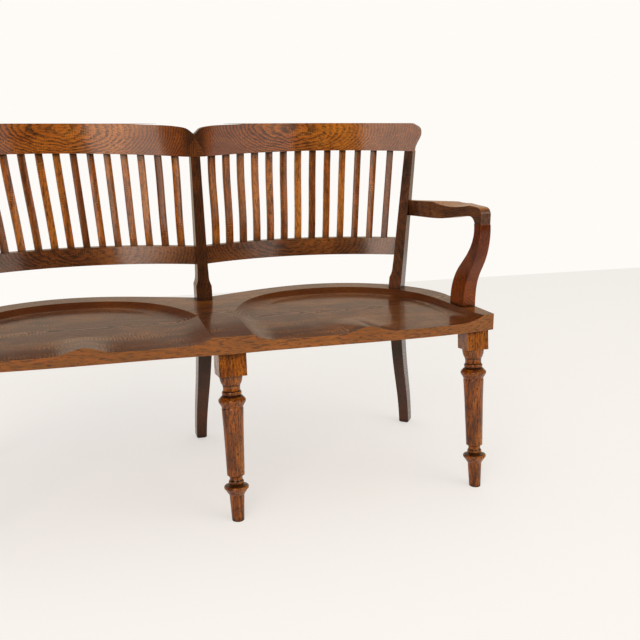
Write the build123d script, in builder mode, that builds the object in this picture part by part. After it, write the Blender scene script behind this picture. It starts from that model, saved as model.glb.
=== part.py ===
from build123d import *
from math import asin, cos, hypot, radians, sin, tan
import os

# Two-seat oak settee with a double chair back, dished plank seat, turned front legs and scrolled arms.
# Millimetres. X runs to the right of someone facing it, Y to the back, Z up from the floor.
# The right half is modelled first and its pieces are mirrored to the left.

# Seat plank
seat_width = 1312.0
seat_depth = 510.0
seat_thickness = 40.0
seat_height = 440.0
front_reach = 286.4
seat_corner_setback = 29.0

# Saddle hollows in the seat
hollow_depth = 16.0
pommel_half_width = 85.0
pommel_length = 150.0

# Posts: each is one piece from the foot to the head of the back
middle_post_back_inset = 101.5
end_post_back_inset = 112.0
end_post_inset = 103.5
end_post_turn = 37.0
middle_post_rake = 10.1
end_post_rake = 14.5
post_width = 28.0
post_head_width = 24.5
post_head_depth = 33.0
post_seat_depth = 50.0
post_foot_width = 28.0
post_foot_depth = 36.0
post_block_width = 41.0
middle_block_height = 36.5
end_block_height = 31.0
post_tongue = 42.0
middle_leg_sweep = 126.0
end_leg_sweep = 106.0
end_leg_spread = 7.0
foot_chamfer = 4.0

# Curved back
bay_back_inset = 45.5
bay_rake = 14.3
rail_rise = 90.5
rail_height = 45.5
rail_thickness = 22.0
rail_tenon_thickness = 10.0
rail_tenon_height = 28.0
rail_tenon_length = 11.0
crest_rise = 375.0
crest_height = 76.5
crest_foot_thickness = 28.0
crest_top_thickness = 24.0
crest_middle_drop = 8.0
crest_seat_length = 23.0
ear_gap = 0.4
outer_ear_reach = 14.0
crest_block_half_width = 26.0
post_tenon_length = 26.0
post_tenon_width = 16.0
post_tenon_depth = 12.0

# Back slats
slat_count = 13
slat_width = 18.0
slat_thickness = 13.0
slat_bow = 2.5
slat_housing = 12.0
slat_end_share = 1.147

# Turned front legs
leg_stock = 63.5
end_leg_square = 55.5
leg_setback = 55.0
middle_leg_splay = 56.0
end_leg_splay = 51.0
end_leg_inset = 42.5
end_leg_lift = 10.5
leg_tenon_diameter = 30.0
leg_tenon_length = 20.0
leg_block_height = 60.0

# Arms and their supports
arm_turn = 7.0
arm_front_inset = 16.0
arm_front_setback = 65.0
arm_width = 28.0
arm_height = 261.0
arm_drop = 20.0
arm_end_depth = 44.0
arm_end_width = 24.0
arm_knee_depth = 27.0
arm_knee_height = 46.0
arm_thickness = 30.0
knee_fall = 5.0
knee_round = 16.0
knee_inner_round = 12.0
elbow_swell = 13.0
elbow_hollow = 10.0
elbow_hollow_length = 190.0
support_width = 30.0
support_foot_width = 36.0
support_foot_depth = 60.0
support_foot_set = 53.0

# Hidden fastenings
dowel_diameter = 9.0
dowel_length = 36.0
overrun = 5.0

half_width = seat_width / 2
seat_bottom = seat_height - seat_thickness
seat_front = -front_reach
seat_back = seat_front + seat_depth
end_post_position = half_width - end_post_inset
leg_position = half_width - end_leg_inset
knee_x = half_width - arm_front_inset
rail_bottom = seat_height + rail_rise
rail_top = rail_bottom + rail_height
crest_bottom = seat_height + crest_rise
crest_top = crest_bottom + crest_height
crest_block_bottom = crest_bottom - crest_middle_drop
post_head = crest_bottom

across = (cos(radians(end_post_turn)), -sin(radians(end_post_turn)))
backward = (sin(radians(end_post_turn)), cos(radians(end_post_turn)))


def middle_point(z):
    """Centre of the middle post in plan at height z above the seat."""
    run = (z - seat_height) * tan(radians(middle_post_rake))
    return (0, seat_back - middle_post_back_inset + run)


def end_point(z):
    """Centre of the right-hand post in plan at height z above the seat."""
    run = (z - seat_height) * tan(radians(end_post_rake))
    return (end_post_position + run * backward[0], seat_back - end_post_back_inset + run * backward[1])


def bay_circle(z):
    """Centre and radius of the arc that the right-hand bay follows in plan at height z."""
    (ax, ay), (bx, by) = middle_point(z), end_point(z)
    chord = hypot(bx - ax, by - ay)
    deepest = seat_back - bay_back_inset + (z - seat_height) * tan(radians(bay_rake))
    sagitta = deepest - (ay + by) / 2
    radius = (chord * chord / 4 + sagitta * sagitta) / (2 * sagitta)
    drop = radius - sagitta
    return ((ax + bx) / 2 + drop * (by - ay) / chord, (ay + by) / 2 - drop * (bx - ax) / chord, radius)


def bay_point(z, x, out=0):
    """Point of the bay at height z and position x, on the arc that lies out from the timber's centre."""
    cx, cy, radius = bay_circle(z)
    return (x, cy + (radius + out) * cos(asin((x - cx) / (radius + out))))


def bay_band(z, thickness, x_start, x_end):
    """Plan of a curved rail at height z, as a face between two arcs."""
    half = thickness / 2
    x_middle = (x_start + x_end) / 2
    with BuildSketch(Plane.XY.offset(z)) as band:
        with BuildLine():
            front = ThreePointArc(*[bay_point(z, x, -half) for x in (x_start, x_middle, x_end)])
            back = ThreePointArc(*[bay_point(z, x, half) for x in (x_start, x_middle, x_end)])
            Line(front @ 0, back @ 0)
            Line(front @ 1, back @ 1)
        make_face()
    return band.sketch


# Outlines of a post: the sweep of its leg, how much of its head lies before its centre line, and the
# concave run between its block and its slender part
leg_height_shares = (0.0, 0.24, 0.41, 0.62, 0.91)
leg_sweep_shares = (1.0, 0.77, 0.49, 0.21, 0.015)
head_front_share = 0.36
tongue_shares = ((1.0, 0.0), (0.54, 0.17), (0.26, 0.32), (0.08, 0.62), (0.0, 1.0))


def post_edge(side, head_run, foot_run):
    """Front (side -1) or back (side 1) edge of a post, from the foot to the head."""
    points = []
    for height_share, sweep_share in zip(leg_height_shares, leg_sweep_shares):
        depth = post_foot_depth + (post_seat_depth - post_foot_depth) * height_share
        points.append((foot_run * sweep_share + side * depth / 2, seat_height * height_share))
    points.append((side * post_seat_depth / 2, seat_height))
    head_share = -head_front_share if side < 0 else 1 - head_front_share
    points.append((head_run + post_head_depth * head_share, post_head))
    return points


def post_side_lines(head_run, foot_run):
    """Closed side outline of a post, drawn in the active plane."""
    front = post_edge(-1, head_run, foot_run)
    back = post_edge(1, head_run, foot_run)
    Spline(*front[:-1])
    Line(front[-2], front[-1])
    Line(front[-1], back[-1])
    Line(back[-1], back[-2])
    Spline(*back[:-1])
    Line(back[0], front[0])


def tongue_line(side, block, block_top):
    """Concave run from a post's block up to its slender part, on its left (-1) or right (1) side."""
    narrowing = block - post_width / 2
    Spline(*[
        (side * (post_width / 2 + narrowing * u), block_top + post_tongue * v) for u, v in tongue_shares
    ])


def post_front_lines(inner_foot, outer_foot, inner_block, outer_block, block_height):
    """Closed front outline of a post: tapering leg, block at the seat and slender upper part."""
    slender = post_width / 2
    head = post_head_width / 2
    block_top = seat_height + block_height
    slender_foot = block_top + post_tongue
    Polyline((-slender, slender_foot), (-head, post_head), (head, post_head), (slender, slender_foot))
    if outer_block > slender:
        tongue_line(1, outer_block, block_top)
    else:
        Line((slender, slender_foot), (outer_block, block_top))
    tongue_line(-1, inner_block, block_top)
    Polyline(
        (outer_block, block_top),
        (outer_block, seat_height),
        (outer_foot, 0),
        (-inner_foot, 0),
        (-inner_block, seat_height),
        (-inner_block, block_top),
    )


# Middle post, sawn to its side outline and then to its front outline
middle_x, middle_y = middle_point(seat_height)
middle_head_run = (post_head - seat_height) * tan(radians(middle_post_rake))
middle_side = Plane(origin=(middle_x, middle_y, 0), x_dir=(0, 1, 0), z_dir=(1, 0, 0))
middle_face = Plane(origin=(middle_x, middle_y, 0), x_dir=(1, 0, 0), z_dir=(0, -1, 0))
with BuildPart() as middle_blank:
    with BuildSketch(middle_side):
        with BuildLine():
            post_side_lines(middle_head_run, middle_leg_sweep)
        make_face()
    extrude(amount=post_block_width, both=True)
    with BuildSketch(middle_face):
        with BuildLine():
            post_front_lines(
                post_foot_width / 2,
                post_foot_width / 2,
                post_block_width / 2,
                post_block_width / 2,
                middle_block_height,
            )
        make_face()
    extrude(amount=seat_depth, both=True, mode=Mode.INTERSECT)
    split(bisect_by=Plane.XY.offset(crest_block_bottom), keep=Keep.BOTTOM)
    for level in (0, crest_top):
        spread = 2 * (level - foot_chamfer)
        with BuildSketch(Plane(origin=(middle_x, middle_y + middle_leg_sweep, level))):
            Rectangle(post_foot_width + spread, post_foot_depth + spread)
    loft(ruled=True, mode=Mode.INTERSECT)
    head_x, head_y = middle_point(crest_block_bottom)
    with BuildSketch(Plane(origin=(head_x, head_y, crest_block_bottom))):
        Rectangle(post_tenon_width, post_tenon_depth)
    extrude(amount=post_tenon_length, dir=(0, sin(radians(middle_post_rake)), cos(radians(middle_post_rake))))

# Right-hand post, whose upright plane is turned outwards
end_x, end_y = end_point(seat_height)
end_head_run = (post_head - seat_height) * tan(radians(end_post_rake))
end_side = Plane(origin=(end_x, end_y, 0), x_dir=(*backward, 0), z_dir=(*across, 0))
end_face = Plane(origin=(end_x, end_y, 0), x_dir=(*across, 0), z_dir=(-backward[0], -backward[1], 0))
with BuildPart() as end_blank:
    with BuildSketch(end_side):
        with BuildLine():
            post_side_lines(end_head_run, end_leg_sweep)
        make_face()
    extrude(amount=post_block_width, both=True)
    with BuildSketch(end_face):
        with BuildLine():
            post_front_lines(
                post_foot_width / 2 - end_leg_spread,
                post_foot_width / 2 + end_leg_spread,
                post_block_width / 2,
                post_width / 2,
                end_block_height,
            )
        make_face()
    extrude(amount=seat_depth, both=True, mode=Mode.INTERSECT)
    foot = end_side.from_local_coords((end_leg_sweep, 0, end_leg_spread))
    for level in (0, crest_top):
        spread = 2 * (level - foot_chamfer)
        with BuildSketch(Plane(origin=(foot.X, foot.Y, level), x_dir=(*across, 0), z_dir=(0, 0, 1))):
            Rectangle(post_foot_width + spread, post_foot_depth + spread)
    loft(ruled=True, mode=Mode.INTERSECT)
    head_x, head_y = end_point(post_head)
    with BuildSketch(Plane(origin=(head_x, head_y, post_head), x_dir=(*across, 0), z_dir=(0, 0, 1))):
        Rectangle(post_tenon_width, post_tenon_depth)
    lean = sin(radians(end_post_rake))
    extrude(
        amount=post_tenon_length,
        dir=(backward[0] * lean, backward[1] * lean, cos(radians(end_post_rake))),
    )

# Crest rail: a curved, raked board cut to a silhouette with an ear at each end
inner_neck_shares = ((1.0, 0.0), (0.8, 0.2), (0.35, 0.42), (0.0, 0.56))
inner_brow_shares = (
    (0.0, 0.635), (0.2, 0.73), (0.61, 0.835), (1.34, 0.9), (2.78, 0.94), (5.57, 0.971), (8.93, 0.99),
)
outer_neck_shares = ((0.0, 0.0), (0.1, 0.17), (0.42, 0.32), (0.9, 0.52), (1.0, 0.66))
outer_brow_shares = ((1.0, 0.66), (0.86, 0.785), (0.43, 0.88), (-0.4, 0.962), (-1.3, 1.0))
crest_inner_height = crest_height + crest_middle_drop
outer_neck = post_head_width / 2
crest_end = end_point(crest_top)[0] + crest_foot_thickness + outer_ear_reach


def inner_ear(shares):
    """Points of the inner ear, measured out from the middle of the settee."""
    reach = crest_block_half_width - ear_gap / 2
    return [(ear_gap / 2 + reach * u, crest_block_bottom + crest_inner_height * v) for u, v in shares]


def outer_ear(shares):
    """Points of the outer ear, measured out from the neck above the end post."""
    return [(outer_neck + outer_ear_reach * u, crest_bottom + crest_height * v) for u, v in shares]


with BuildPart() as crest_blank:
    add(bay_band(crest_block_bottom - overrun, crest_foot_thickness, 0, crest_end))
    add(bay_band(crest_top + overrun, crest_top_thickness, 0, crest_end))
    loft(ruled=True)
    with BuildSketch(Plane.XZ):
        with BuildLine():
            neck = Spline(*inner_ear(inner_neck_shares))
            brow = Spline(*inner_ear(inner_brow_shares), tangents=((0, 1), (1, 0)))
            Line(neck @ 1, brow @ 0)
            seat_end = (end_point(crest_bottom)[0] - crest_seat_length, crest_bottom)
            arch_middle = ((neck @ 0).X + seat_end[0]) / 2
            ThreePointArc(seat_end, (arch_middle, crest_bottom), neck @ 0)
            Polyline(brow @ 1, (crest_end, crest_top), (crest_end, crest_bottom), seat_end)
        make_face()
    extrude(amount=seat_depth, both=True, mode=Mode.INTERSECT)
    with BuildSketch(end_face):
        with BuildLine():
            neck = Spline(*outer_ear(outer_neck_shares))
            brow = Spline(*outer_ear(outer_brow_shares), tangents=(neck % 1, (-1, 0)))
            Polyline(
                brow @ 1,
                (-seat_width, crest_top),
                (-seat_width, crest_block_bottom - overrun),
                (outer_neck, crest_block_bottom - overrun),
                neck @ 0,
            )
        make_face()
    extrude(amount=seat_depth, both=True, mode=Mode.INTERSECT)

# Slats of the right-hand bay, each sawn with a slight double curve
slat_pitches = slat_count - 1 + 2 * slat_end_share


def slat_place(number):
    """Foot and head of the centre line of a slat, and the direction across its face."""
    share = (slat_end_share + number) / slat_pitches
    ends = []
    for z in (rail_top, crest_bottom):
        x = middle_point(z)[0] + (end_point(z)[0] - middle_point(z)[0]) * share
        ends.append(Vector(*bay_point(z, x), z))
    cx, cy, radius = bay_circle((rail_top + crest_bottom) / 2)
    x = (ends[0].X + ends[1].X) / 2
    angle = asin((x - cx) / radius)
    return ends[0], ends[1], Vector(cos(angle), -sin(angle), 0)


slats = []
for number in range(slat_count):
    foot, head, along_rail = slat_place(number)
    rise = (head - foot).normalized()
    slat_across = (along_rail - rise * along_rail.dot(rise)).normalized()
    slat_back = rise.cross(slat_across)
    length = (head - foot).length
    half = slat_thickness / 2
    with BuildPart() as slat:
        with BuildSketch(Plane(origin=foot, x_dir=slat_back, z_dir=slat_back.cross(rise))):
            with BuildLine():
                front = Spline(
                    (-half, -slat_housing),
                    (-half - slat_bow, length / 4),
                    (-half, length / 2),
                    (-half + slat_bow, length * 3 / 4),
                    (-half, length + slat_housing),
                )
                back = Spline(
                    (half, -slat_housing),
                    (half - slat_bow, length / 4),
                    (half, length / 2),
                    (half + slat_bow, length * 3 / 4),
                    (half, length + slat_housing),
                )
                Line(front @ 0, back @ 0)
                Line(front @ 1, back @ 1)
            make_face()
        extrude(amount=slat_width / 2, both=True)
    slats.append(slat.part)

# Lower back rail, shouldered against both posts and tenoned into them
tenon_level = rail_bottom + (rail_height - rail_tenon_height) / 2
tenon_reach = post_width / 2 - rail_tenon_length
with BuildPart() as lower_rail_right:
    add(bay_band(rail_bottom, rail_thickness, 0, end_point(rail_bottom)[0]))
    add(bay_band(rail_top, rail_thickness, 0, end_point(rail_top)[0]))
    loft(ruled=True)
    add(middle_blank.part, mode=Mode.SUBTRACT)
    add(end_blank.part, mode=Mode.SUBTRACT)
with BuildPart() as rail_tongue:
    for level in (tenon_level, tenon_level + rail_tenon_height):
        add(bay_band(level, rail_tenon_thickness, tenon_reach, end_point(level)[0] - tenon_reach / across[0]))
    loft(ruled=True)
with BuildPart() as back_rail_right:
    add(lower_rail_right.part)
    add(rail_tongue.part)
    for slat_part in slats:
        add(slat_part, mode=Mode.SUBTRACT)

# Crest rails, housed over the slat heads and mortised for the end post
with BuildPart() as crest_rail_right:
    add(crest_blank.part)
    for slat_part in slats:
        add(slat_part, mode=Mode.SUBTRACT)
    add(end_blank.part, mode=Mode.SUBTRACT)

# Block between the two crests, over the middle post
with BuildPart() as crest_block:
    for z in (crest_block_bottom, crest_top):
        front_side = bay_point(z, crest_block_half_width, -crest_foot_thickness / 2)
        back_side = bay_point(z, crest_block_half_width, crest_foot_thickness / 2)
        front_nose = bay_point(z, 0, -crest_foot_thickness / 2)
        back_nose = bay_point(z, 0, crest_foot_thickness / 2)
        with BuildSketch(Plane.XY.offset(z)):
            Polygon(
                front_nose,
                front_side,
                back_side,
                back_nose,
                (-back_side[0], back_side[1]),
                (-front_side[0], front_side[1]),
                align=None,
            )
    loft(ruled=True)
    with BuildSketch(Plane.XZ) as block_outline:
        with BuildLine():
            neck = Spline(*inner_ear(inner_neck_shares))
            Line(neck @ 0, (0, crest_block_bottom))
            Line((0, crest_block_bottom), (0, (neck @ 1).Y))
            Line((0, (neck @ 1).Y), neck @ 1)
        make_face()
        mirror(about=Plane.YZ)
    extrude(amount=seat_depth, both=True, mode=Mode.INTERSECT)

# Seat plank with two saddle hollows, notched round the posts
seat_back_shares = (
    (0.0, 0.818), (0.171, 0.902), (0.503, 1.0), (0.768, 0.912), (0.921, 0.731), (0.977, 0.535),
)
seat_front_shares = ((0.85, 0.027), (0.515, 0.008))
rim_shares = (
    (0.07, 0.427), (0.118, 0.598), (0.255, 0.802), (0.486, 0.886), (0.712, 0.822),
    (0.873, 0.604), (0.915, 0.369), (0.927, 0.192), (0.985, -0.025),
)
floor_shares = (
    (0.17, 0.447), (0.212, 0.614), (0.311, 0.761), (0.486, 0.837), (0.689, 0.776),
    (0.83, 0.584), (0.87, 0.369), (0.867, 0.192), (0.836, -0.025),
)
pommel_shares = ((-1.0, 0.0), (-0.55, 0.22), (-0.2, 0.8), (0.0, 1.0), (0.2, 0.8), (0.55, 0.22), (1.0, 0.0))
cove_run_share = 0.35
cove_depth_share = 0.62
pommel_tail_share = 0.06
pommel_place_share = 0.488


def seat_point(width_share, depth_share):
    """Point of the seat from shares of its half width and of its depth, measured from the front."""
    return (half_width * width_share, seat_front + seat_depth * depth_share)


with BuildPart() as hollow_right:
    for run_share, depth_share in ((0.0, 0.0), (cove_run_share, cove_depth_share), (1.0, 1.0)):
        edge = [
            seat_point(rim[0] + (floor[0] - rim[0]) * run_share, rim[1] + (floor[1] - rim[1]) * run_share)
            for rim, floor in zip(rim_shares, floor_shares)
        ]
        with BuildSketch(Plane.XY.offset(seat_height - hollow_depth * depth_share)):
            with BuildLine():
                sweep_edge = Spline(*edge)
                inner_start = (edge[0][0], edge[-1][1])
                Line(edge[0], inner_start)
                Line(inner_start, edge[-1])
            make_face()
    loft()
with BuildPart() as pommel:
    pommel_x = half_width * pommel_place_share
    pommel_base = seat_height - hollow_depth
    for setback, height_share in ((-overrun, 1.0), (pommel_length, pommel_tail_share)):
        with BuildSketch(Plane.XZ.offset(-seat_front - setback)):
            with BuildLine():
                bell = Spline(
                    *[
                        (
                            pommel_x + pommel_half_width * u,
                            pommel_base + hollow_depth * height_share * v,
                        )
                        for u, v in pommel_shares
                    ],
                    tangents=((1, 0), (1, 0)),
                )
                low_left = (pommel_x - pommel_half_width, pommel_base - overrun)
                low_right = (pommel_x + pommel_half_width, pommel_base - overrun)
                Line(bell @ 0, low_left)
                Line(low_left, low_right)
                Line(low_right, bell @ 1)
            make_face()
    loft(ruled=True)
with BuildPart() as saddle:
    add(hollow_right.part)
    add(pommel.part, mode=Mode.SUBTRACT)

# Turned front legs: square stock, turned below the block and tenoned into the seat
shoulder_share = 0.847
turning_shares = {
    "foot": ((0.44, -0.01), (0.54, 0.143), (0.552, 0.15), (0.83, 0.183)),
    "ring": ((0.83, 0.183), (0.905, 0.194), (0.85, 0.204)),
    "fillet": ((0.85, 0.204), (0.53, 0.214)),
    "lower bead": ((0.53, 0.214), (0.56, 0.2235), (0.527, 0.233)),
    "waist": ((0.527, 0.233), (0.468, 0.243), (0.64, 0.266)),
    "shaft": ((0.64, 0.266), (0.728, 0.533), (0.794, 0.654), (0.77, 0.662), (0.825, 0.671), (0.96, 0.689)),
    "bulb": ((0.96, 0.689), (1.0, 0.7), (0.95, 0.71)),
    "groove": ((0.95, 0.71), (0.765, 0.726), (0.664, 0.73), (0.68, 0.733)),
    "bead": ((0.68, 0.733), (0.72, 0.743), (0.68, 0.753)),
    "neck": ((0.68, 0.753), (0.64, 0.756)),
    "hollow": ((0.64, 0.756), (0.62, 0.77), (0.64, 0.784)),
    "notch": ((0.64, 0.784), (0.664, 0.792), (0.715, 0.797)),
    "collar": ((0.715, 0.797), (0.8, 0.817), (0.845, shoulder_share)),
    "axis": ((0.845, shoulder_share), (0.0, shoulder_share), (0.0, -0.01), (0.44, -0.01)),
}
round_sections = ("ring", "lower bead", "waist", "bulb", "bead", "hollow", "collar")
shaft_middle_share = 0.5
leg_parts = {}
for side, leg_x, splay, square, lift in (
    ("left", -leg_position, end_leg_splay, end_leg_square, end_leg_lift),
    ("middle", 0, middle_leg_splay, leg_stock, 0),
    ("right", leg_position, end_leg_splay, end_leg_square, end_leg_lift),
):
    leg_foot = (leg_x, seat_front + leg_setback - splay, 0)
    leg_run = hypot(seat_bottom, splay)
    leg_axis = Vector(0, splay, seat_bottom)
    leg_cross = Plane(origin=leg_foot, x_dir=(1, 0, 0), z_dir=leg_axis)
    with BuildPart() as front_leg:
        with BuildSketch(Plane(origin=leg_foot, x_dir=(1, 0, 0), z_dir=(0, -seat_bottom, splay))):
            with BuildLine():
                for section, shares in turning_shares.items():
                    points = [
                        (leg_stock / 2 * r, leg_run * h + (lift if h > shaft_middle_share else 0))
                        for r, h in shares
                    ]
                    if section in round_sections:
                        ThreePointArc(*points)
                    else:
                        Polyline(*points)
            make_face()
        revolve(axis=Axis(leg_foot, leg_axis))
        with BuildSketch(leg_cross.offset(leg_run * shoulder_share + lift)):
            Rectangle(square, square)
        extrude(amount=leg_block_height * 2)
        split(bisect_by=Plane.XY.offset(seat_bottom), keep=Keep.BOTTOM)
        split(bisect_by=Plane.XY, keep=Keep.TOP)
        with BuildSketch(leg_cross.offset(leg_run - leg_block_height / 2)):
            Circle(leg_tenon_diameter / 2)
        extrude(amount=leg_block_height / 2 + leg_tenon_length)
    leg_parts[side] = front_leg.part

# Arm and its support stand in one upright plane, turned a little outwards
outwards = (cos(radians(arm_turn)), sin(radians(arm_turn)))
rearwards = (-sin(radians(arm_turn)), cos(radians(arm_turn)))
knee_y = seat_front + arm_front_setback
arm_side = Plane(origin=(knee_x, knee_y, 0), x_dir=(*rearwards, 0), z_dir=(*outwards, 0))
arm_face = Plane(origin=(knee_x, knee_y, 0), x_dir=(*outwards, 0), z_dir=(-rearwards[0], -rearwards[1], 0))
arm_plan = Plane(origin=(knee_x, knee_y, seat_height), x_dir=(*rearwards, 0), z_dir=(0, 0, -1))
arm_top = seat_height + arm_height
knee_bottom = arm_top - arm_knee_height
arm_end_level = arm_top - arm_drop - arm_end_depth / 2
end_centre = end_point(arm_end_level)
post_face = (
    end_centre[0] + across[0] * post_head_width / 2,
    end_centre[1] + across[1] * post_head_width / 2,
)
arm_reach = (post_face[0] - knee_x) * rearwards[0] + (post_face[1] - knee_y) * rearwards[1]
arm_offset = (post_face[0] - knee_x) * outwards[0] + (post_face[1] - knee_y) * outwards[1]
face_run = backward[0] * rearwards[0] + backward[1] * rearwards[1]
face_out = backward[0] * outwards[0] + backward[1] * outwards[1]

support_front_shares = ((1.0, 0.0), (0.985, 0.15), (0.83, 0.335), (0.3, 0.577), (0.02, 0.8), (0.0, 1.0))
support_back_shares = ((1.0, 0.0), (0.96, 0.22), (0.78, 0.39), (0.33, 0.605), (0.02, 0.82), (0.0, 1.0))
arm_top_shares = ((0.14, 0.18), (0.25, 0.11), (0.43, 0.26), (0.7, 0.62), (1.04, 1.04))
arm_under_shares = ((1.04, 1.02), (0.66, 0.72), (0.43, 0.5), (0.25, 0.15), (0.14, 0.0))
arm_knee_shares = ((0.0, 1.0), (0.25, 0.42), (1.0, 0.0))
arm_inner_shares = ((0.0, 1.0), (0.45, 1.07), (0.85, 0.79))
arm_outer_shares = ((0.0, 0.0), (0.22, 0.3), (0.5, 1.0), (0.8, 0.35))
elbow_share = 0.41
elbow_drop_share = 0.24

with BuildPart() as support_blank:
    support_rise = knee_bottom - seat_height
    support_spread = support_foot_set + support_foot_depth - arm_knee_depth
    with BuildSketch(arm_side):
        with BuildLine():
            front = Spline(*[
                (support_foot_set * u, seat_height + support_rise * v) for u, v in support_front_shares
            ])
            back = Spline(*[
                (arm_knee_depth + support_spread * u, seat_height + support_rise * v)
                for u, v in support_back_shares
            ])
            Line(front @ 0, back @ 0)
            Line(front @ 1, back @ 1)
        make_face()
    extrude(amount=support_foot_width / 2, both=True)
    with BuildSketch(arm_face):
        Polygon(
            (-support_width / 2, knee_bottom),
            (support_width / 2, knee_bottom),
            (support_foot_width / 2, seat_height),
            (-support_foot_width / 2, seat_height),
            align=None,
        )
    extrude(amount=seat_depth, both=True, mode=Mode.INTERSECT)

with BuildPart() as arm_blank:
    with BuildSketch(arm_side):
        with BuildLine():
            brow = ThreePointArc(*[
                (knee_round * u, arm_top - knee_fall - knee_round * v) for u, v in arm_knee_shares
            ])
            top = Spline(
                brow @ 1,
                *[(arm_reach * u, arm_top - arm_drop * v) for u, v in arm_top_shares],
                tangents=(brow % 1, (arm_reach, -arm_drop)),
            )
            under_fall = arm_drop + arm_end_depth - arm_thickness
            under = Spline(*[
                (arm_reach * u, arm_top - arm_thickness - under_fall * v) for u, v in arm_under_shares
            ])
            knee_inner = ThreePointArc(
                under @ 1,
                (arm_knee_depth + knee_inner_round / 2, arm_top - arm_thickness - knee_inner_round / 2),
                (arm_knee_depth, knee_bottom),
            )
            Line(top @ 1, under @ 0)
            Line(knee_inner @ 1, (0, knee_bottom))
            Line((0, knee_bottom), brow @ 0)
        make_face()
    extrude(amount=arm_width * 2, both=True)
    with BuildSketch(arm_plan):
        with BuildLine():
            end_front = (arm_reach - arm_end_width / 2 * face_run, arm_offset - arm_end_width / 2 * face_out)
            end_back = (arm_reach + arm_end_width / 2 * face_run, arm_offset + arm_end_width / 2 * face_out)
            inner = Spline(*[(arm_reach * u, -arm_width / 2 * v) for u, v in arm_inner_shares], end_front)
            outer = Spline(
                *[(arm_reach * u, arm_width / 2 + elbow_swell * v) for u, v in arm_outer_shares], end_back
            )
            Line(end_front, end_back)
            Line(inner @ 0, outer @ 0)
        make_face()
    extrude(amount=arm_height * 2, both=True, mode=Mode.INTERSECT)
    hollow_radius = (elbow_hollow_length ** 2 / 4 + elbow_hollow ** 2) / (2 * elbow_hollow)
    elbow_width = arm_width + elbow_swell
    elbow_out = arm_width / 2 + elbow_swell
    lean = hypot(elbow_width, elbow_hollow)
    tilt_out = elbow_width / lean
    tilt_up = elbow_hollow / lean
    hollow_axis = Vector(outwards[0] * tilt_out, outwards[1] * tilt_out, tilt_up)
    hollow_up = Vector(-outwards[0] * tilt_up, -outwards[1] * tilt_up, tilt_out)
    hollow_edge = Vector(
        knee_x + rearwards[0] * arm_reach * elbow_share + outwards[0] * elbow_out,
        knee_y + rearwards[1] * arm_reach * elbow_share + outwards[1] * elbow_out,
        arm_top - arm_drop * elbow_drop_share,
    )
    with BuildSketch(Plane(origin=hollow_edge + hollow_up * hollow_radius, z_dir=hollow_axis)):
        Circle(hollow_radius)
    extrude(amount=elbow_width * 2, both=True, mode=Mode.SUBTRACT)

# Dowels
support_dowel_shares = (0.27, 0.73)
crest_dowel_place_share = 0.75
crest_dowel_height_share = 0.22
crest_dowel_share = 0.3
arm_back_dowel_share = 0.25
arm_back_dowel_side_share = 0.35
post_dowel_share = 0.4
knee_centre = arm_side.from_local_coords((arm_knee_depth / 2, knee_bottom, 0))
with BuildPart() as knee_dowels:
    with BuildSketch(Plane(origin=knee_centre)):
        Circle(dowel_diameter / 2)
    extrude(amount=dowel_length / 2, both=True)
    mirror(about=Plane.YZ)
with BuildPart() as support_dowels:
    for foot_share in support_dowel_shares:
        foot_run = support_foot_set + support_foot_depth * foot_share
        place = arm_side.from_local_coords((foot_run, seat_height, 0))
        with BuildSketch(Plane(origin=place)):
            Circle(dowel_diameter / 2)
        extrude(amount=dowel_length / 2, both=True)
    mirror(about=Plane.YZ)
with BuildPart() as crest_dowels:
    joint_x = crest_block_half_width * crest_dowel_place_share
    joint_z = crest_block_bottom + crest_inner_height * crest_dowel_height_share
    cx, cy, radius = bay_circle(joint_z)
    joint_angle = asin((joint_x - cx) / radius)
    joint_place = (*bay_point(joint_z, joint_x), joint_z)
    joint_axis = (cos(joint_angle), -sin(joint_angle), 0)
    with BuildSketch(Plane(origin=joint_place, z_dir=joint_axis)):
        Circle(dowel_diameter / 2)
    extrude(amount=dowel_length * crest_dowel_share, both=True)
    mirror(about=Plane.YZ)
with BuildPart() as arm_back_dowels:
    step = arm_end_width / 2 * arm_back_dowel_side_share
    dowel_x = post_face[0] - backward[0] * step
    dowel_y = post_face[1] - backward[1] * step
    with BuildSketch(Plane(origin=(dowel_x, dowel_y, arm_end_level), z_dir=(*across, 0))):
        Circle(dowel_diameter / 2)
    extrude(amount=dowel_length * arm_back_dowel_share, both=True)
    mirror(about=Plane.YZ)
post_dowel_level = seat_bottom + seat_thickness * post_dowel_share
with BuildPart() as post_dowels:
    for side_plane in (end_side, middle_side):
        for offset in (-post_width / 4, post_width / 4):
            place = side_plane.from_local_coords((-post_seat_depth / 2, post_dowel_level, offset))
            with BuildSketch(Plane(origin=place, z_dir=side_plane.x_dir)):
                Circle(dowel_diameter / 2)
            extrude(amount=dowel_length / 2, both=True)
        if side_plane is end_side:
            mirror(about=Plane.YZ)

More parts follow.
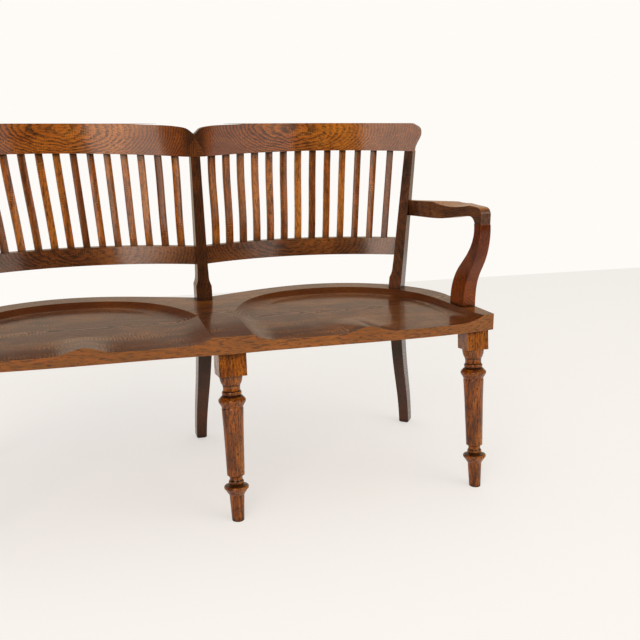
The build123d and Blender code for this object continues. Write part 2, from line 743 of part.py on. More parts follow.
# Posts, mortised for the lower rails
with BuildPart() as back_post_middle:
    add(middle_blank.part)
    add(back_rail_right.part, mode=Mode.SUBTRACT)
    add(mirror(back_rail_right.part, about=Plane.YZ, mode=Mode.PRIVATE), mode=Mode.SUBTRACT)
    add(post_dowels.part, mode=Mode.SUBTRACT)
with BuildPart() as back_post_right:
    add(end_blank.part)
    add(back_rail_right.part, mode=Mode.SUBTRACT)
    add(post_dowels.part, mode=Mode.SUBTRACT)
    add(arm_back_dowels.part, mode=Mode.SUBTRACT)
with BuildPart() as crest_rail:
    add(crest_rail_right.part)
    add(crest_dowels.part, mode=Mode.SUBTRACT)
with BuildPart() as crest_middle_block:
    add(crest_block.part)
    add(middle_blank.part, mode=Mode.SUBTRACT)
    add(crest_dowels.part, mode=Mode.SUBTRACT)
with BuildPart() as arm_right:
    add(arm_blank.part)
    add(end_blank.part, mode=Mode.SUBTRACT)
    add(knee_dowels.part, mode=Mode.SUBTRACT)
    add(arm_back_dowels.part, mode=Mode.SUBTRACT)
with BuildPart() as arm_support_right:
    add(support_blank.part)
    add(knee_dowels.part, mode=Mode.SUBTRACT)
    add(support_dowels.part, mode=Mode.SUBTRACT)

with BuildPart() as seat:
    with BuildSketch(Plane.XY.offset(seat_bottom)):
        with BuildLine():
            back_edge = Spline(*[seat_point(u, v) for u, v in seat_back_shares])
            front_corner = (half_width, seat_front + seat_corner_setback)
            Line(back_edge @ 1, front_corner)
            front_edge = Spline(
                front_corner,
                *[seat_point(u, v) for u, v in seat_front_shares],
                (0, seat_front),
            )
            Line(front_edge @ 1, back_edge @ 0)
        make_face()
        mirror(about=Plane.YZ)
    extrude(amount=seat_thickness)
    add(saddle.part, mode=Mode.SUBTRACT)
    add(mirror(saddle.part, about=Plane.YZ, mode=Mode.PRIVATE), mode=Mode.SUBTRACT)
    for leg_part in leg_parts.values():
        add(leg_part, mode=Mode.SUBTRACT)
    add(middle_blank.part, mode=Mode.SUBTRACT)
    add(end_blank.part, mode=Mode.SUBTRACT)
    add(mirror(end_blank.part, about=Plane.YZ, mode=Mode.PRIVATE), mode=Mode.SUBTRACT)
    add(post_dowels.part, mode=Mode.SUBTRACT)
    add(support_dowels.part, mode=Mode.SUBTRACT)

# Name every piece, mirror the right-hand ones to the left and write them out
os.makedirs("parts", exist_ok=True)
pieces = {
    "seat": seat.part,
    "back_post_middle": back_post_middle.part,
    "crest_middle_block": crest_middle_block.part,
    "crest_dowels": crest_dowels.part,
    "knee_dowels": knee_dowels.part,
    "support_dowels": support_dowels.part,
    "arm_back_dowels": arm_back_dowels.part,
    "post_dowels": post_dowels.part,
}
for side, leg_part in leg_parts.items():
    pieces[f"front_leg_{side}"] = leg_part
paired = {
    "back_post": back_post_right.part,
    "crest_rail": crest_rail.part,
    "lower_back_rail": back_rail_right.part,
    "arm": arm_right.part,
    "arm_support": arm_support_right.part,
}
for name, piece in paired.items():
    pieces[f"{name}_right"] = piece
    pieces[f"{name}_left"] = mirror(piece, about=Plane.YZ)
for number, slat_part in enumerate(slats, start=1):
    pieces[f"slat_right_{number:02d}"] = slat_part
    pieces[f"slat_left_{number:02d}"] = mirror(slat_part, about=Plane.YZ)
for label, piece in pieces.items():
    piece.label = label
    export_step(piece, f"parts/{label}.step")
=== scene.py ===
import math

import bpy
from mathutils import Matrix, Vector


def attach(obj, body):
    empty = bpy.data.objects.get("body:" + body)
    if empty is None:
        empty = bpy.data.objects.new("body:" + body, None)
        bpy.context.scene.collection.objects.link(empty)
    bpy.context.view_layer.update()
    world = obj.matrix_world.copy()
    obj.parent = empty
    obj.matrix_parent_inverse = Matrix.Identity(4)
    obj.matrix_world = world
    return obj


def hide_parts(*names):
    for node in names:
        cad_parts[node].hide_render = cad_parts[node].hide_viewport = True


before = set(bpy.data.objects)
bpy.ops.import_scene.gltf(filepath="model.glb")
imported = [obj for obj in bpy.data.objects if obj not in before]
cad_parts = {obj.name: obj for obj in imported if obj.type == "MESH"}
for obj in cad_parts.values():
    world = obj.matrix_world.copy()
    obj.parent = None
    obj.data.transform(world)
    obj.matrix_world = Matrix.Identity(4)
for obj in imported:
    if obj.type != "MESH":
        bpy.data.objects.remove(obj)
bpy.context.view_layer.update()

# Seat plank: one wide oak board, hollowed to two saddles and polished by years of use.
# The grain runs along its length, and pale rays cross the hollows in short wavy flecks.
# The walls of the hollows are darker, and the sawn edge kept a golden tone with dark dashes.
seat_shades = ((34, 12, 2), (98, 39, 4), (184, 112, 42), (18, 6, 2))
seat_wall_shade = (84, 36, 5)
seat_edge_shade = (206, 122, 24)
seat_dash_shade = (52, 22, 6)


class Wire:
    """One socket of a node tree; an expression written with it adds Math nodes."""

    def __init__(self, tree, socket):
        self.tree = tree
        self.socket = socket

    def node(self, kind, settings, values, output=0):
        """Any other node: its type, its settings, then the values or wires of its sockets."""
        made = self.tree.nodes.new(kind)
        for name, setting in settings.items():
            setattr(made, name, setting)
        for name, value in values.items():
            if isinstance(value, Wire):
                value.feed(made.inputs[name])
            else:
                made.inputs[name].default_value = value
        return Wire(self.tree, made.outputs[output])

    def feed(self, socket):
        """Link this wire to a socket that is there already."""
        self.tree.links.new(self.socket, socket)

    def maths(self, operation, *values):
        return self.node("ShaderNodeMath", {"operation": operation}, dict(enumerate(values)))

    def __add__(self, other):
        return self.maths("ADD", self, other)

    __radd__ = __add__

    def __sub__(self, other):
        return self.maths("SUBTRACT", self, other)

    def __rsub__(self, other):
        return self.maths("SUBTRACT", other, self)

    def __mul__(self, other):
        return self.maths("MULTIPLY", self, other)

    __rmul__ = __mul__

    def __abs__(self):
        return self.maths("ABSOLUTE", self)


def new_finish(name):
    """A new material with its Principled shader, and the place on the piece to start from."""
    material = bpy.data.materials.new(name)
    material.use_nodes = True
    tree = material.node_tree
    place = tree.nodes.new("ShaderNodeTexCoord")
    return material, tree.nodes["Principled BSDF"], Wire(tree, place.outputs["Object"])


def srgb(red, green, blue):
    """A colour as it looks on a screen, as the linear values that a shader takes."""
    shades = [channel / 255 for channel in (red, green, blue)]
    return (*[c / 12.92 if c <= 0.04045 else ((c + 0.055) / 1.055) ** 2.4 for c in shades], 1)


def step_up(wire, low, high):
    """0 below low, 1 above high, smooth between."""
    values = {"Value": wire, "From Min": low, "From Max": high}
    return wire.node("ShaderNodeMapRange", {"interpolation_type": "SMOOTHSTEP"}, values)


def blended(share, low, high):
    """Colour that goes from low to high."""
    return share.node("ShaderNodeMix", {"data_type": "RGBA"}, {0: share, 6: low, 7: high}, output=2)


def coordinate(place, axis):
    """One number of a place or a direction: 0 across, 1 to the back, 2 up."""
    return place.node("ShaderNodeSeparateXYZ", {}, {0: place}, output=axis)


def dot_product(first, second):
    return first.node("ShaderNodeVectorMath", {"operation": "DOT_PRODUCT"}, {0: first, 1: second}, output=1)


def noise(place, scale, detail, roughness, distortion=0.0):
    values = {0: place, "Scale": scale, "Detail": detail, "Roughness": roughness, "Distortion": distortion}
    return place.node("ShaderNodeTexNoise", {}, values)


def grained(board, draw, scale, detail, roughness, distortion=0.0):
    """Noise drawn out along the grain; a small draw makes it long."""
    values = {0: board, 1: (draw, 1.0, 1.0)}
    drawn = board.node("ShaderNodeVectorMath", {"operation": "MULTIPLY"}, values)
    return noise(drawn, scale, detail, roughness, distortion)


wave_repeat = 0.314  # metres from one wave of a wave texture of scale 1 to the next


def growth_rings(board, gap):
    """Rings round the tree's heart: 0 in spring wood, 1 in summer wood."""
    settings = {"wave_type": "RINGS", "rings_direction": "X", "wave_profile": "SAW"}
    values = {
        0: board, "Scale": wave_repeat / gap, "Distortion": 16.0, "Detail": 4.0, "Detail Scale": 0.06,
        "Detail Roughness": 0.7,
    }
    return step_up(board.node("ShaderNodeTexWave", settings, values), 0.15, 0.75)


def ray_flecks(board, gap):
    """Short wavy rays that lie across the grain in loose rows: 1 on a ray."""
    settings = {"wave_type": "BANDS", "bands_direction": "X", "wave_profile": "SIN"}
    values = {
        0: board, "Scale": wave_repeat / gap, "Distortion": 8.0, "Detail": 2.0, "Detail Scale": 1.1,
        "Detail Roughness": 0.6,
    }
    ripple = board.node("ShaderNodeTexWave", settings, values)
    rows = grained(board, 0.35, 0.22 / gap, 2.0, 0.5)
    return step_up(ripple, 0.6, 0.96) * step_up(rows, 0.46, 0.66)


corner_reach = 0.018  # metres from an inner corner to where its painted shade ends


def corners_of(place, radius):
    """How far a point is worn as an arris, how deep it lies in a corner, and the softened normal."""
    eased = place.node("ShaderNodeBevel", {"samples": 6}, {"Radius": radius})
    plain = place.node("ShaderNodeNewGeometry", {}, {}, output="Normal")
    bent = 1.0 - dot_product(eased, plain)
    values = {"Distance": corner_reach}
    open_air = place.node("ShaderNodeAmbientOcclusion", {"samples": 8}, values, output="AO")
    hollow = step_up(1.0 - open_air, 0.06, 0.5)
    return step_up(bent, 0.01, 0.16) * (1.0 - hollow), hollow, eased


pore_strength = 0.7
wear_strength = 0.6
# strength of the painted shade in inner corners
corner_shade_strength = 0.8
sheen = 0.25  # of the wood under the wax, which is weak and warm
sheen_tint = (1.0, 0.62, 0.34, 1.0)
wax_roughness = 0.14
relief_height = 0.0006
relief_strength = 0.35


def oak(
    name, turn, heart, shades, ring=0.0032, bold=0.5, cloud=0.55, flecks=(0.5, 0.006), pits=0.3, wax=0.8,
    arris=0.0016, age_and_painted_light=None, shift=None, shown=None,
):
    """Polished old oak: growth rings, open pores, ray flecks, worn arrises, dents, painted shade in inner
    corners and a coat of wax.

    turn and heart lay the board in its tree: degrees that bring X along the grain, and a point on the pith.
    shades are its dark, middle and pale wood and its pores, whose colour also paints the shade in inner
    corners.
    ring is the rings' width, bold their strength, and cloud the strength of paler patches.
    flecks are the strength of the rays and the gap between them, and shown tells where they appear.
    pits is the strength of small dents, wax the share of wax, and arris the radius of the worn edges.
    shift gives each of many like pieces its own figure, and patina lays age, and on some pieces painted
    shade and sheen, over the finished wood.
    """
    dark, middle, pale, deep = [srgb(*shade) for shade in shades]
    material, shader, place = new_finish(name)
    spot = place if shift is None else shift(place)
    values = {"Vector": spot, "Location": heart, "Rotation": [math.radians(angle) for angle in turn]}
    board = spot.node("ShaderNodeMapping", {"vector_type": "TEXTURE"}, values)
    summer = growth_rings(board, ring)
    fibres = step_up(grained(board, 0.06, 380.0, 3.0, 0.6), 0.36, 0.64)
    streaks = step_up(grained(board, 0.08, 110.0, 3.0, 0.6), 0.34, 0.66)
    pores = step_up(grained(board, 0.12, 560.0, 1.0, 0.5) + 0.08 * (1.0 - summer), 0.575, 0.65)
    scuffs = step_up(grained(board, 0.5, 260.0, 2.0, 0.55, 0.3), 0.62, 0.68)
    drift = grained(board, 0.18, 7.0, 2.0, 0.5)
    handled = noise(place, 9.0, 3.0, 0.55)
    ray_strength, ray_gap = flecks
    rays = ray_flecks(board, ray_gap)
    if shown is not None:
        rays = rays * shown(place)
    worn, hollow, eased = corners_of(place, arris)

    grain = bold * summer + (0.72 - bold) * streaks + 0.28 * fibres
    colour = blended(step_up(grain, 0.12, 0.95), dark, middle)
    colour = blended(step_up(0.6 * drift + 0.4 * handled, 0.44, 0.68) * cloud, colour, pale)
    colour = blended(rays * ray_strength, colour, pale)
    colour = blended(pores * pore_strength, colour, deep)
    colour = blended(scuffs * pits, colour, deep)
    colour = blended(worn * wear_strength * step_up(handled, 0.3, 0.6), colour, pale)
    # Painted shade: inner corners, found by ambient occlusion, darken towards the pore colour.
    colour = blended(hollow * corner_shade_strength, colour, deep)
    if age_and_painted_light is not None:
        colour = age_and_painted_light(place, colour)
    colour.feed(shader.inputs["Base Color"])

    roughness = 0.5 - 0.22 * summer + 0.1 * fibres - 0.12 * rays + 0.2 * hollow
    roughness.feed(shader.inputs["Roughness"])
    shader.inputs["Specular IOR Level"].default_value = sheen
    shader.inputs["Specular Tint"].default_value = sheen_tint
    shader.inputs["Coat Weight"].default_value = wax
    shader.inputs["Coat Roughness"].default_value = wax_roughness
    relief = 0.35 * fibres + 0.2 * streaks - 0.8 * pores - pits * scuffs
    values = {"Strength": relief_strength, "Distance": relief_height, "Height": relief, "Normal": eased}
    place.node("ShaderNodeBump", {}, values).feed(shader.inputs["Normal"])
    return material


def finish_node(node, material):
    """Give a CAD piece its finish."""
    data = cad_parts[node].data
    data.materials.clear()
    data.materials.append(material)


def lying(place):
    """1 where a face looks straight up, 0 where it stands upright."""
    return coordinate(place.node("ShaderNodeNewGeometry", {}, {}, output="Normal"), 2)


def on_top(place):
    """The rays show on the lying faces alone."""
    return step_up(lying(place), 0.9, 0.985)


def seat_patina(place, colour):
    """Darker walls round the hollows, and a golden edge with the dark dashes of cut pores."""
    edge = 1.0 - step_up(lying(place), 0.2, 0.5)
    wall = (1.0 - step_up(lying(place), 0.86, 0.975)) * (1.0 - edge)
    colour = blended(wall * 0.65, colour, srgb(*seat_wall_shade))
    colour = blended(edge * 0.26, colour, srgb(*seat_edge_shade))
    dashes = step_up(grained(place, 0.14, 340.0, 2.0, 0.5), 0.55, 0.62)
    return blended(dashes * edge * 0.65, colour, srgb(*seat_dash_shade))


seat_finish = oak(
    "seat_oak", (1, 2, 1), (0.1, -0.05, 0.36), seat_shades, bold=0.4, cloud=0.3, flecks=(0.5, 0.0078),
    wax=0.62, age_and_painted_light=seat_patina, shown=on_top,
)
finish_node("seat", seat_finish)

# Front legs: square oak stock, turned below the block and tenoned up into the seat.
# They keep a lighter, more golden polish than the back, with dents and pits,
# and painted shade lies dark in the turner's grooves.
leg_shades = ((84, 36, 3), (150, 76, 9), (212, 128, 28), (24, 8, 2))
# Colour of the painted shade in the grooves.
painted_groove_shade = (24, 9, 3)
leg_head_y = -0.2314
leg_height = 0.4
# Each groove's place, as a share of the leg from the foot, and its width.
leg_grooves = ((0.209, 0.0024), (0.235, 0.0016), (0.727, 0.0024), (0.755, 0.0016), (0.787, 0.0016))
# Each leg's side, place across, splay to the front, and how much higher its upper grooves sit.
legs = (("left", -0.6135, 0.051, 0.0105), ("middle", 0, 0.056, 0), ("right", 0.6135, 0.051, 0.0105))


def leg_groove_shadows(splay, lift):
    """Painted shade: dark rings round a leg at its grooves, square to its own leaning line."""
    length = math.hypot(leg_height, splay)

    def shaded_grooves(place, colour):
        from_foot = dot_product(place, (0, splay / length, leg_height / length))
        from_foot = from_foot - (leg_head_y - splay) * splay / length
        dark = 0.0
        for share, width in leg_grooves:
            middle = share * length + (lift if share > 0.5 else 0)
            dark = dark + (1.0 - step_up(abs(from_foot - middle), width * 0.4, width * 1.3))
        # Painted shade: each groove darkens as if in its own shade.
        return blended(dark * 0.85, colour, srgb(*painted_groove_shade))

    return shaded_grooves


for side, x, splay, lift in legs:
    leg_finish = oak(
        f"leg_oak_{side}", (3, -87, 0), (x + 0.07, -0.22, 0.1), leg_shades, ring=0.006, bold=0.15,
        flecks=(0.25, 0.008), pits=0.9, wax=0.6, arris=0.0008, age_and_painted_light=leg_groove_shadows(splay, lift),
    )
    finish_node(f"front_leg_{side}", leg_finish)

# Back posts: oak, each sawn in one piece from the foot to the crest and dowelled to the seat.
# Old polish has darkened them most, and they are darker still below the seat, nearly to black.
post_shades = ((26, 9, 2), (66, 27, 5), (136, 66, 16), (10, 3, 1))
post_leg_shade = (30, 12, 5)


def post_darker_below_seat(place, colour):
    """The part below the seat is darker."""
    below = 1.0 - step_up(coordinate(place, 2), 0.3, 0.46)
    return blended(below * 0.5, colour, srgb(*post_leg_shade))


for side, x in (("left", -0.6), ("middle", 0), ("right", 0.6)):
    post_finish = oak(
        f"post_oak_{side}", (0, -76, 90), (x + 0.04, 0.2, 0.5), post_shades, bold=0.3, flecks=(0.3, 0.008),
        wax=0.75, age_and_painted_light=post_darker_below_seat,
    )
    finish_node(f"back_post_{side}", post_finish)

# Curved rails under the slats: oak, sawn from thick plank and tenoned into the posts.
# Sawing the curve cuts across the rings, so the figure closes up towards both ends.
rail_shades = ((50, 20, 5), (104, 50, 13), (160, 92, 34), (22, 8, 2))
for side, x in (("left", -0.3), ("right", 0.3)):
    rail_finish = oak(
        f"rail_oak_{side}", (0, 1, 1), (x, 0.28, 0.55), rail_shades, ring=0.0035, bold=0.38,
        flecks=(0.3, 0.006),
    )
    finish_node(f"lower_back_rail_{side}", rail_finish)

# Slats of the back: oak, thirteen to a bay, each sawn with a slight double curve and housed at both ends.
# They stand between the lower rail and the crest on one bowed surface that leans back.
# No two took the polish alike: some are golden, and some are redder and darker.
slat_shades = ((70, 28, 4), (174, 90, 20), (222, 140, 48), (24, 8, 2))
dark_slat_shade = (78, 34, 12)
slat_end_shade = (44, 20, 9)
slat_count = 13
slat_width = 0.018
slat_depth = 0.013
slat_bow = 0.0025
slat_arris = 0.0017
slat_housing = 0.0115
slat_end_share = 1.147
slat_rings = 25
slat_arris_facets = 4
rail_top = 0.576
crest_bottom = 0.815
seat_top = 0.44
seat_back_y = 0.2236
middle_post_inset = 0.1015
middle_post_rake = math.radians(10.1)
end_post_x = 0.5525
end_post_inset = 0.112
end_post_rake = math.radians(14.5)
end_post_turn = math.radians(37)
bay_inset = 0.0455
bay_rake = math.radians(14.3)


def post_centres(level):
    """Centres of the middle post and of the right end post in plan, at a level."""
    above = level - seat_top
    middle = Vector((0, seat_back_y - middle_post_inset + above * math.tan(middle_post_rake)))
    run = above * math.tan(end_post_rake)
    x = end_post_x + run * math.sin(end_post_turn)
    return middle, Vector((x, seat_back_y - end_post_inset + run * math.cos(end_post_turn)))


def bay_arc(level):
    """Centre and radius of the arc on which a bay's slats stand."""
    middle, end = post_centres(level)
    chord = (end - middle).length
    deepest = seat_back_y - bay_inset + (level - seat_top) * math.tan(bay_rake)
    rise = deepest - (middle.y + end.y) / 2
    radius = (chord * chord / 4 + rise * rise) / (2 * rise)
    ahead = (end - middle).normalized()
    return (middle + end) / 2 + Vector((ahead.y, -ahead.x)) * (radius - rise), radius


def slat_line(number):
    """Foot and head of a slat's centre line, and the direction across its face."""
    share = (slat_end_share + number) / (slat_count - 1 + 2 * slat_end_share)
    ends = []
    for level in (rail_top, crest_bottom):
        middle, end = post_centres(level)
        centre, radius = bay_arc(level)
        x = middle.x + (end.x - middle.x) * share
        ends.append(Vector((x, centre.y + math.sqrt(radius ** 2 - (x - centre.x) ** 2), level)))
    centre, radius = bay_arc((rail_top + crest_bottom) / 2)
    angle = math.asin(((ends[0].x + ends[1].x) / 2 - centre.x) / radius)
    return ends[0], ends[1], Vector((math.cos(angle), -math.sin(angle), 0))


slat_feet = []
slat_turns = []
slat_lengths = []
slat_tones = []
for hand, first_tone in ((-1, 0.2), (1, 0.57)):
    for number in range(slat_count):
        foot, head, face = slat_line(number)
        foot.x, head.x, face.y = foot.x * hand, head.x * hand, face.y * hand
        rise = (head - foot).normalized()
        face = (face - rise * face.dot(rise)).normalized()
        slat_feet.append(foot - rise * slat_housing)
        slat_turns.extend(Matrix((rise.cross(face), -face, rise)).transposed().to_euler())
        slat_lengths.append((head - foot).length + 2 * slat_housing)
        slat_tones.append((first_tone + number * 0.618) % 1)
slat_rows = bpy.data.meshes.new("slat_rows")
slat_rows.from_pydata(slat_feet, [], [])
slat_rows.attributes.new("turn", "FLOAT_VECTOR", "POINT").data.foreach_set("vector", slat_turns)
slat_rows.attributes.new("length", "FLOAT", "POINT").data.foreach_set("value", slat_lengths)
slat_rows.attributes.new("tone", "FLOAT", "POINT").data.foreach_set("value", slat_tones)


def slat_tone(place):
    """A slat's own number between 0 and 1."""
    return place.node("ShaderNodeAttribute", {"attribute_name": "tone"}, {}, output="Fac")


def own_board(place):
    """Coordinates carried far apart from slat to slat, so that each has its own figure."""
    tone = slat_tone(place)
    far = place.node("ShaderNodeCombineXYZ", {}, {0: tone * 3.0, 1: tone * 1.3, 2: tone * 5.0})
    return place.node("ShaderNodeVectorMath", {"operation": "ADD"}, {0: place, 1: far})


def slat_patina(place, colour):
    """Some slats are redder and darker; the heads and feet of all are darker."""
    height = coordinate(place, 2)
    ends = 1.0 - step_up(height, 0.572, 0.606) * (1.0 - step_up(height, 0.775, 0.818))
    colour = blended(step_up(slat_tone(place), 0.35, 1.0) * 0.5, colour, srgb(*dark_slat_shade))
    return blended(ends * 0.5, colour, srgb(*slat_end_shade))


slat_oak = oak(
    "slat_oak", (0, -76, 90), (0.3, 0.36, 0.6), slat_shades, bold=0.3, flecks=(0.4, 0.006), wax=0.45,
    age_and_painted_light=slat_patina, shift=own_board,
)

slat_tree = bpy.data.node_groups.new("slat_rows", "GeometryNodeTree")
slat_tree.interface.new_socket("Geometry", in_out="INPUT", socket_type="NodeSocketGeometry")
slat_sizes = {"Width": slat_width, "Depth": slat_depth, "Bow": slat_bow, "Arris": slat_arris}
slat_inputs = {}
for label in slat_sizes:
    slat_inputs[label] = slat_tree.interface.new_socket(label, in_out="INPUT", socket_type="NodeSocketFloat")
slat_tree.interface.new_socket("Geometry", in_out="OUTPUT", socket_type="NodeSocketGeometry")
way_in = slat_tree.nodes.new("NodeGroupInput")
rows = Wire(slat_tree, way_in.outputs["Geometry"])
width, depth, bow, arris = [Wire(slat_tree, way_in.outputs[label]) for label in slat_sizes]

line = rows.node("GeometryNodeCurvePrimitiveLine", {}, {"End": (0, 0, 1)})
stem = rows.node("GeometryNodeResampleCurve", {"mode": "COUNT"}, {"Curve": line, "Count": slat_rings})
section = rows.node("GeometryNodeCurvePrimitiveQuadrilateral", {}, {"Width": depth, "Height": width})
values = {"Curve": section, "Count": slat_arris_facets, "Radius": arris}
section = rows.node("GeometryNodeFilletCurve", {"mode": "POLY"}, values)
values = {"Curve": stem, "Profile Curve": section, "Fill Caps": True}
blank = rows.node("GeometryNodeCurveToMesh", {}, values)
height = coordinate(rows.node("GeometryNodeInputPosition", {}, {}), 2)
swing = rows.maths("SINE", height * (2 * math.pi)) * bow * -1
values = {"Geometry": blank, "Offset": rows.node("ShaderNodeCombineXYZ", {}, {"X": swing})}
blank = rows.node("GeometryNodeSetPosition", {}, values)
blank = rows.node("GeometryNodeSetShadeSmooth", {}, {0: blank})
turn = rows.node("GeometryNodeInputNamedAttribute", {"data_type": "FLOAT_VECTOR"}, {"Name": "turn"})
length = rows.node("GeometryNodeInputNamedAttribute", {"data_type": "FLOAT"}, {"Name": "length"})
stretch = rows.node("ShaderNodeCombineXYZ", {}, {"X": 1.0, "Y": 1.0, "Z": length})
values = {"Points": rows, "Instance": blank, "Rotation": turn, "Scale": stretch}
sawn = rows.node("GeometryNodeInstanceOnPoints", {}, values)
sawn = rows.node("GeometryNodeRealizeInstances", {}, {0: sawn})
sawn = rows.node("GeometryNodeSetMaterial", {}, {0: sawn, "Material": slat_oak})
sawn.feed(slat_tree.nodes.new("NodeGroupOutput").inputs[0])

back_slats = bpy.data.objects.new("back_slats", slat_rows)
bpy.context.scene.collection.objects.link(back_slats)
sawing = back_slats.modifiers.new("sawing", "NODES")
sawing.node_group = slat_tree
for label, size in slat_sizes.items():
    sawing[slat_inputs[label].identifier] = size
depsgraph = bpy.context.evaluated_depsgraph_get()
slat_mesh = bpy.data.meshes.new_from_object(
    back_slats.evaluated_get(depsgraph), preserve_all_data_layers=True, depsgraph=depsgraph,
)
back_slats.modifiers.clear()
back_slats.data = slat_mesh
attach(back_slats, "root")
slat_nodes = [
    f"slat_{side}_{number:02d}" for side in ("left", "right") for number in range(1, slat_count + 1)
]
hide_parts(*slat_nodes)

# Crests: thick oak, sawn to the bow of the back, rounded at the ears and housed over the slats.
# The golden middle shows the rings as fine dark waves; the ears are darker, and the ends by the block carry
# painted shade.
crest_shades = ((62, 25, 3), (152, 73, 9), (212, 128, 36), (24, 9, 2))
ear_shade = (96, 42, 14)
# Colour of the painted shade where the crest meets the block.
painted_seam_shade = (30, 12, 4)
bay_middle_x = 0.33


def crest_tone_and_seam_shadow(place, colour):
    """Golden in the middle of the bay, browner and redder towards the ears, with painted shade by the block.
    """
    across = abs(coordinate(place, 0))
    ears = step_up(abs(across - bay_middle_x), 0.1, 0.24)
    colour = blended(ears * 0.45, colour, srgb(*ear_shade))
    # Painted shade in the V where the crest meets the block.
    seam_shadow = 1.0 - step_up(across, 0.014, 0.042)
    return blended(seam_shadow * 0.75, colour, srgb(*painted_seam_shade))


for side, x in (("left", -0.3), ("right", 0.3)):
    crest_finish = oak(
        f"crest_oak_{side}", (0, 1, 1), (x, 0.365, 0.852), crest_shades, ring=0.0034, bold=0.56,
        flecks=(0.35, 0.006), wax=0.6, age_and_painted_light=crest_tone_and_seam_shadow,
    )
    finish_node(f"crest_rail_{side}", crest_finish)

# Middle block: a small arched piece of oak between the two crests, over the middle post.
# It is dowelled to both crests and has the darker polish of the lower rails.
block_finish = oak("block_oak", (0, -76, 90), (0.05, 0.2, 0.8), rail_shades)
finish_node("crest_middle_block", block_finish)

# Arms: oak, each shaped from one piece, flat at the elbow and rounded over the knee.
# Dowels hold them to the posts and the supports. Their tops carry a painted sheen; the sides stay dark.
arm_shades = ((48, 20, 6), (104, 52, 17), (166, 102, 48), (22, 8, 3))
# Colour of the painted sheen on the arms' tops.
arm_top_sheen_shade = (196, 128, 66)


def arm_top_sheen(place, colour):
    """Painted sheen: the tops of the arms are paler."""
    return blended(step_up(lying(place), 0.5, 0.95) * 0.5, colour, srgb(*arm_top_sheen_shade))


for side, grain_turn, x in (("left", 83, -0.64), ("right", 97, 0.64)):
    arm_finish = oak(
        f"arm_oak_{side}", (2, 3, grain_turn), (x, 0.0, 0.62), arm_shades, bold=0.3, flecks=(0.3, 0.006),
        age_and_painted_light=arm_top_sheen,
    )
    finish_node(f"arm_{side}", arm_finish)

# Arm supports: oak, sawn to a long double curve and dowelled between the seat and the arm's knee.
# Their fronts show the rings as close bands, reddened by polish.
support_shades = ((54, 14, 1), (114, 40, 3), (166, 80, 14), (22, 7, 2))
for side, x in (("left", -0.64), ("right", 0.64)):
    support_finish = oak(
        f"support_oak_{side}", (0, -68, 90), (x + 0.05, -0.3, 0.5), support_shades, flecks=(0.3, 0.007),
        wax=0.3,
    )
    finish_node(f"arm_support_{side}", support_finish)

# Dowels: pegs of bare beech, glued into their holes.
# All of them are hidden inside the joints.
dowel_shades = ((150, 118, 80), (188, 156, 112), (208, 180, 138), (110, 82, 52))
dowel_beech = oak(
    "dowel_beech", (0, -90, 0), (0, 0, 0.4), dowel_shades, flecks=(0.4, 0.003), pits=0.0, wax=0.0,
)
for node in ("crest_dowels", "knee_dowels", "support_dowels", "arm_back_dowels", "post_dowels"):
    finish_node(node, dowel_beech)

# Studio: a plain pale floor before a white wall, and two broad soft windows to the front left and right
# with a darker room between them. The camera stands where the photograph's did.
floor_shade = srgb(251, 248, 244)
floor_front = -6
floor_back = 2.2
floor_half_width = 6
floor_data = bpy.data.meshes.new("floor")
floor_corners = [
    (-floor_half_width, floor_front, 0), (floor_half_width, floor_front, 0),
    (floor_half_width, floor_back, 0), (-floor_half_width, floor_back, 0),
]
floor_data.from_pydata(floor_corners, [], [(0, 1, 2, 3)])
floor = bpy.data.objects.new("floor", floor_data)
bpy.context.scene.collection.objects.link(floor)
floor_paint, floor_shader, floor_place = new_finish("floor_paint")
floor_shader.inputs["Base Color"].default_value = floor_shade
floor_shader.inputs["Roughness"].default_value = 0.8
floor_shader.inputs["Specular IOR Level"].default_value = 0.2
floor_seen = floor_place.node("ShaderNodeLightPath", {}, {}, output="Is Camera Ray")
floor_glow = floor_place.node("ShaderNodeEmission", {}, {"Color": floor_shade})
lit_floor = Wire(floor_place.tree, floor_shader.outputs[0])
floor_mix = floor_place.node("ShaderNodeMixShader", {}, {0: 0.55 * floor_seen, 1: lit_floor, 2: floor_glow})
floor_mix.feed(floor_place.tree.nodes["Material Output"].inputs["Surface"])
floor_data.materials.append(floor_paint)

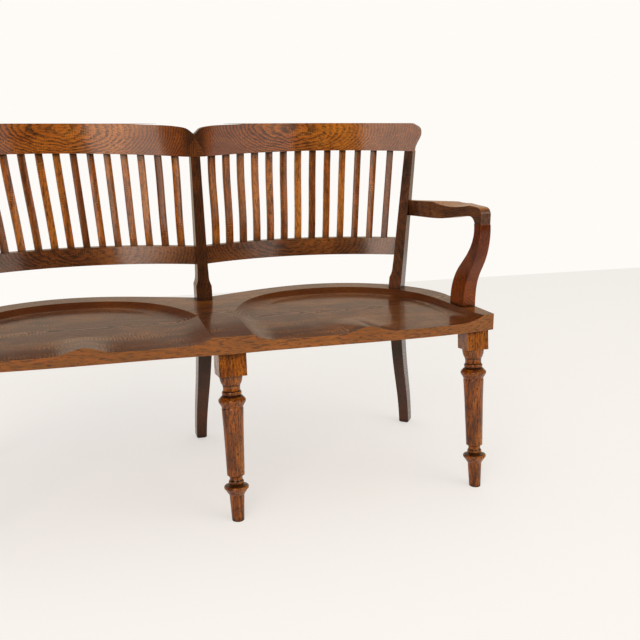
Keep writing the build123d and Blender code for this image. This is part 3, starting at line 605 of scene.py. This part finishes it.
# The room shines most from behind the settee in its polish, and from above on its wood.
wall_shade = srgb(254, 251, 247)
mirrored_wall_shade = srgb(255, 232, 204)
world = bpy.data.worlds.new("studio")
bpy.context.scene.world = world
world.use_nodes = True
sky = world.node_tree.nodes["Background"]
path = world.node_tree.nodes.new("ShaderNodeLightPath")
seen = Wire(world.node_tree, path.outputs["Is Camera Ray"])
glossy = Wire(world.node_tree, path.outputs["Is Glossy Ray"])
towards = seen.node("ShaderNodeTexCoord", {}, {}, output="Generated")
mirrored = 0.08 + 0.52 * step_up(coordinate(towards, 1), 0.1, 0.7)
falling = 0.36 + 0.5 * step_up(coordinate(towards, 2), -0.1, 1.0)
strength = seen + (1.0 - seen) * (glossy * mirrored + (1.0 - glossy) * falling)
strength.feed(sky.inputs["Strength"])
blended(glossy, wall_shade, mirrored_wall_shade).feed(sky.inputs["Color"])

window_height = 2.5
window_colour = (1.0, 0.93, 0.84)
window_target = Vector((0, 0.1, 0.6))


def soft_window(name, place, width, brightness):
    """A broad soft lamp that faces the settee; brightness 1 looks white in a mirror."""
    lamp = bpy.data.lights.new(name, "AREA")
    lamp.shape = "RECTANGLE"
    lamp.size = width
    lamp.size_y = window_height
    lamp.energy = brightness * math.pi * width * window_height
    lamp.color = window_colour
    stand = bpy.data.objects.new(name, lamp)
    stand.location = place
    stand.rotation_euler = (window_target - Vector(place)).to_track_quat("-Z", "Y").to_euler()
    bpy.context.scene.collection.objects.link(stand)


soft_window("left_window", (-2.1, -4.0, 2.95), width=2.6, brightness=4.3)
soft_window("right_window", (3.5, -3.2, 2.95), width=3.6, brightness=2.1)

camera_place = Vector((-0.33873, -2.02274, 0.91748))
camera_turn = 0.3001
camera_fall = 0.2446
camera_roll = 0.002
ahead = Vector((
    math.sin(camera_turn) * math.cos(camera_fall),
    math.cos(camera_turn) * math.cos(camera_fall),
    -math.sin(camera_fall),
))
level = Vector((math.cos(camera_turn), -math.sin(camera_turn), 0))
upright = level.cross(ahead)
right = level * math.cos(camera_roll) + upright * math.sin(camera_roll)
up = upright * math.cos(camera_roll) - level * math.sin(camera_roll)
lens = bpy.data.cameras.new("camera")
lens.lens = 46.54
lens.sensor_width = 36
camera = bpy.data.objects.new("camera", lens)
camera.matrix_world = Matrix.Translation(camera_place) @ Matrix((right, up, -ahead)).transposed().to_4x4()
bpy.context.scene.collection.objects.link(camera)
bpy.context.scene.camera = camera
bpy.context.scene.view_settings.view_transform = "Standard"
